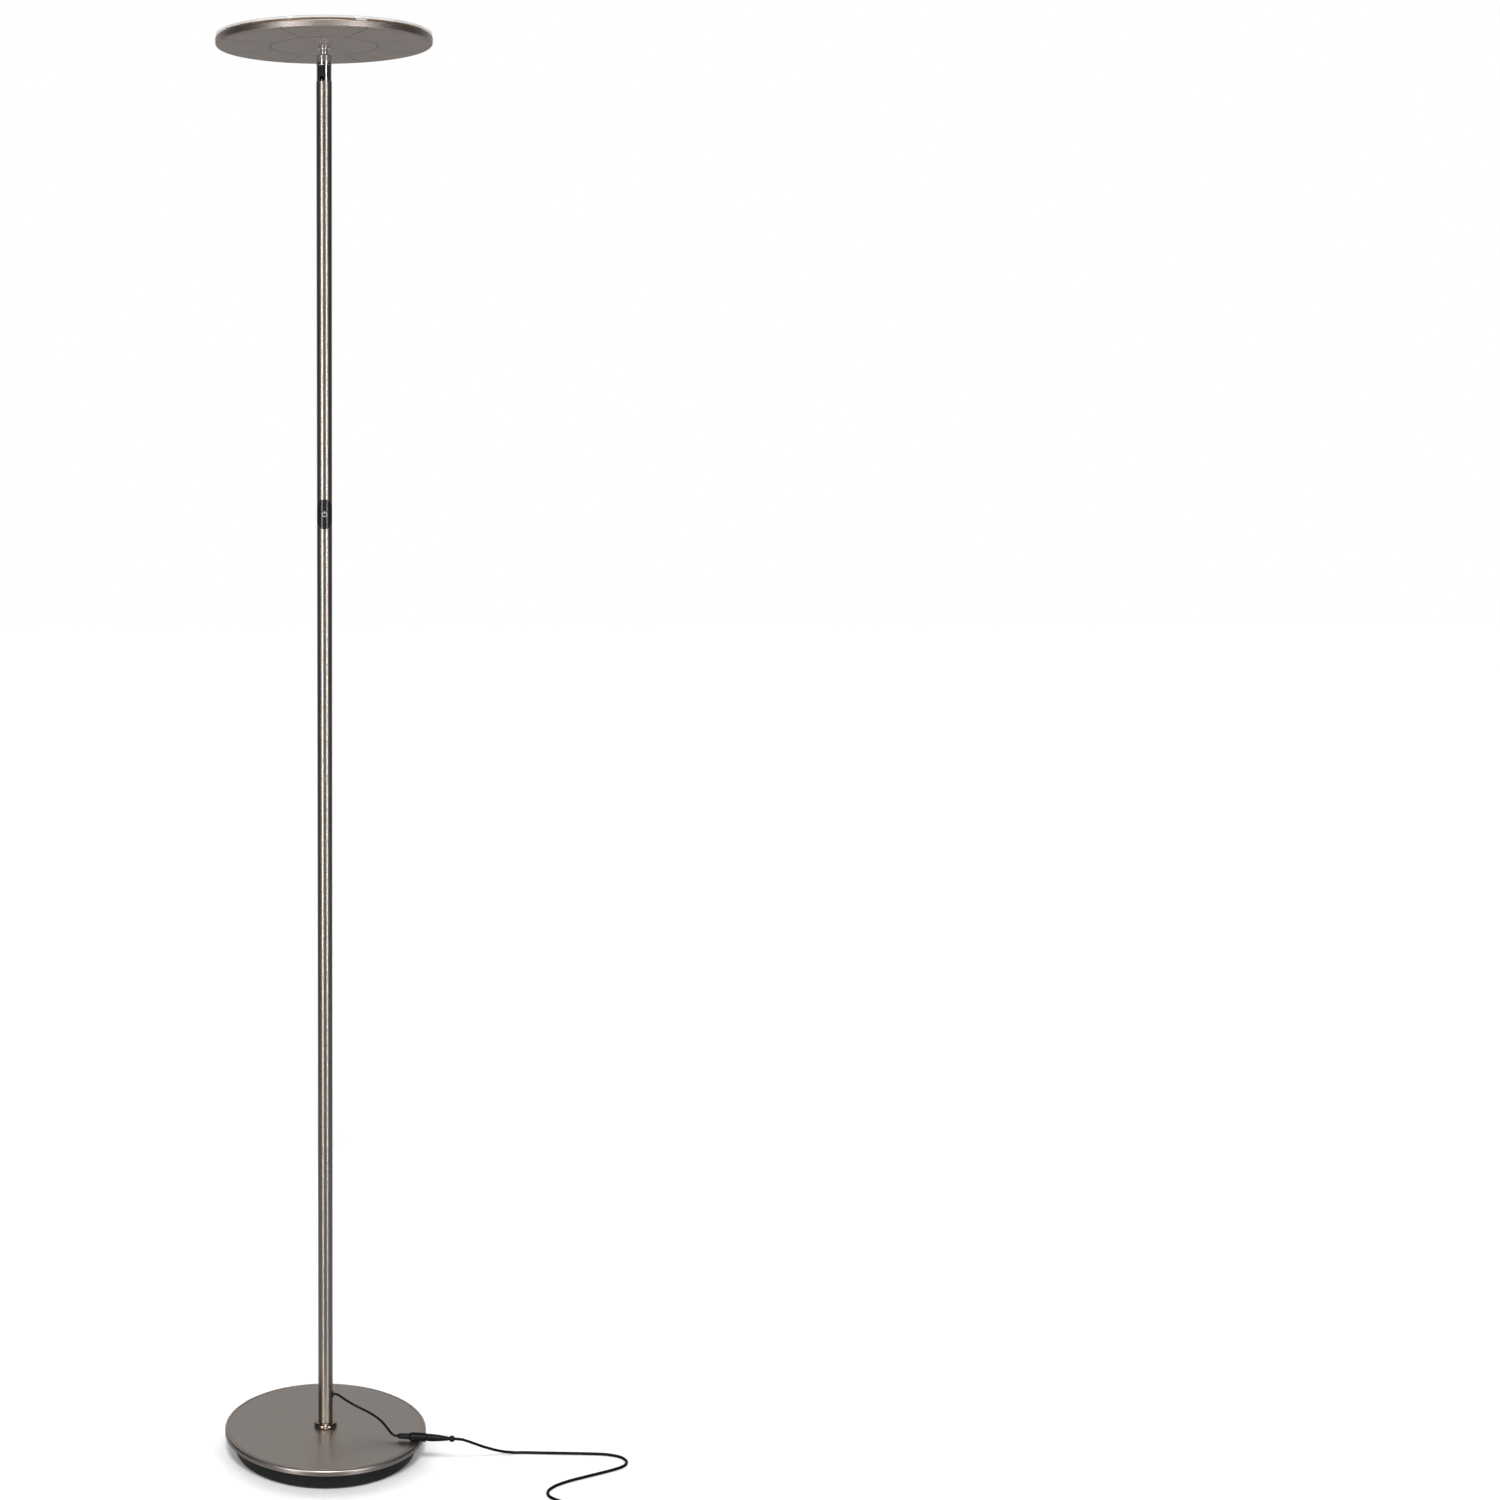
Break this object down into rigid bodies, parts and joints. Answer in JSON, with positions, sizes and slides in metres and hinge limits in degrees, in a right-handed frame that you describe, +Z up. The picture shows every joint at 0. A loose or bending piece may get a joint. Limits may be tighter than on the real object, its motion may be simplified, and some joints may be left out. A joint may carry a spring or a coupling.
{
  "type": "torchiere floor lamp",
  "caption": "Slim torchiere floor lamp: weighted round base, screwed tube pole with a touch switch, and a flat disc LED head on a chromed ball joint.",
  "frame": {"origin": "on the floor, at the pole's axis, which is the middle of the base's underside", "axes": "+Z up along the pole; -Y is the front, where the touch switch faces; +X is the side that the lead comes out of"},
  "size_m": [0.4967, 0.362, 1.7042],
  "materials": {
    "satin_nickel": "satin nickel lacquer over steel, with a fine metallic grain",
    "satin_nickel_head": "satin nickel lacquer over aluminium, sandy on the side wall",
    "dark_nickel": "satin nickel, darker, on the turned foot collar",
    "iron": "rough black cast iron",
    "pan_black": "black moulded plastic, matt",
    "foot_foam": "dark foam rubber",
    "zinc": "bright zinc plated steel",
    "black_rubber": "black rubber",
    "lead_black": "black PVC cable jacket",
    "switch_black": "black plastic, half gloss",
    "symbol_grey": "grey print",
    "circuit_green": "green circuit board",
    "chrome": "polished chrome plate",
    "liner_black": "black nylon",
    "nylon": "natural nylon",
    "lead_white": "white lead",
    "board_white": "aluminium circuit board with a white mask",
    "terminal_white": "white plastic",
    "film": "frosted diffuser film, taupe over the dish",
    "acrylic": "clear acrylic with polished edges",
    "connector_black": "black moulded plug body",
    "nickel_contact": "nickel plated contact",
    "tie_black": "black tie",
    "adapter_black": "black moulded housing with a fine texture",
    "brass": "plated brass blades",
    "led": "yellow LED phosphor"
  },
  "bodies": {
    "stand": {"base_cover": "satin_nickel", "base_weight": "iron", "base_pan": "pan_black", "foot_pads": "foot_foam", "pan_screws": "zinc", "base_stud": "zinc", "base_washer": "zinc", "base_nut": "zinc", "foot_collar": "dark_nickel", "pole_tube_1": "satin_nickel", "pole_tube_2": "satin_nickel", "pole_tube_3": "satin_nickel", "pole_tube_4": "satin_nickel", "pole_sockets": "zinc", "pole_studs": "zinc", "cord_grommet": "black_rubber", "pole_lead_lower": "lead_black", "pole_lead_upper": "lead_black", "switch_cover": "switch_black", "switch_symbol": "symbol_grey", "touch_board": "circuit_green", "touch_spring": "zinc", "neck_socket": "chrome", "neck_cap": "chrome", "joint_liner": "liner_black", "joint_spring": "zinc", "lamp_lead": "lead_black", "dc_socket": "connector_black", "plug_sleeve": "nickel_contact", "dc_plug": "connector_black", "supply_cord": "lead_black", "supply_cord_coil": "lead_black", "coil_tail": "lead_black", "cord_tie": "tie_black", "adapter_relief": "connector_black", "power_adapter": "adapter_black", "adapter_blades": "brass"},
    "swivel": {"friction_cup": "nylon"},
    "head": {"ball_stem": "chrome", "stem_nut": "zinc", "head_lead": "lead_white", "head_dish": "satin_nickel_head", "led_board": "board_white", "led_chips": "led", "board_screws": "zinc", "lead_terminal": "terminal_white", "diffuser_film": "film", "lens": "acrylic", "lens_clips": "acrylic"}
  },
  "joints": [
    {"name": "head_swivel", "type": "hinge", "parent": "stand", "child": "swivel", "pos_m": [0, 0, 1.6766], "axis": [0, 0, 1], "range_deg": [-170, 170]},
    {"name": "head_tilt", "type": "hinge", "parent": "swivel", "child": "head", "pos_m": [0, 0, 1.6766], "axis": [0.9511, -0.309, 0], "range_deg": [-20, 20]}
  ]
}
